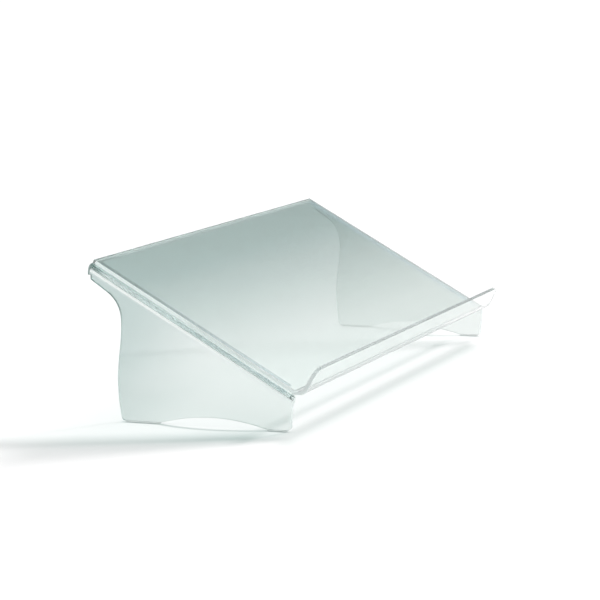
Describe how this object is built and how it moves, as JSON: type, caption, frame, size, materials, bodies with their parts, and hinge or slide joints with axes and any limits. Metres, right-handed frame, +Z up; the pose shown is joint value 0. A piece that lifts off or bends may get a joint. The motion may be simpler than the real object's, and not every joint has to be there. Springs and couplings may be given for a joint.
{
  "type": "document holder with sliding plate",
  "caption": "Clear sloping document holder: a bent sheet stand with arched legs, and a lipped copy plate that slides forward on its deck like a drawer.",
  "frame": {"origin": "on the desk, under the middle of the whole holder", "axes": "+X to the right along the width, +Y to the rear towards the screen, +Z up; the user sits at -Y"},
  "size_m": [0.45, 0.1924, 0.1285],
  "materials": {
    "clear_sheet": "clear cast acrylic sheet with polished faces and a faint cool green in its edges",
    "clear_tape": "clear low-friction tape",
    "clear_rubber": "clear soft silicone, satin"
  },
  "bodies": {
    "stand": {"stand": "clear_sheet", "rear_stop": "clear_sheet", "left_glide_strip": "clear_tape", "right_glide_strip": "clear_tape", "front_left_foot_pad": "clear_rubber", "front_right_foot_pad": "clear_rubber", "rear_left_foot_pad": "clear_rubber", "rear_right_foot_pad": "clear_rubber"},
    "drawer": {"sliding_plate": "clear_sheet"}
  },
  "joints": [
    {"name": "drawer_slide", "type": "slide", "parent": "stand", "child": "drawer", "axis": [0, -0.8704, -0.4924], "range_m": [0, 0.055]}
  ]
}
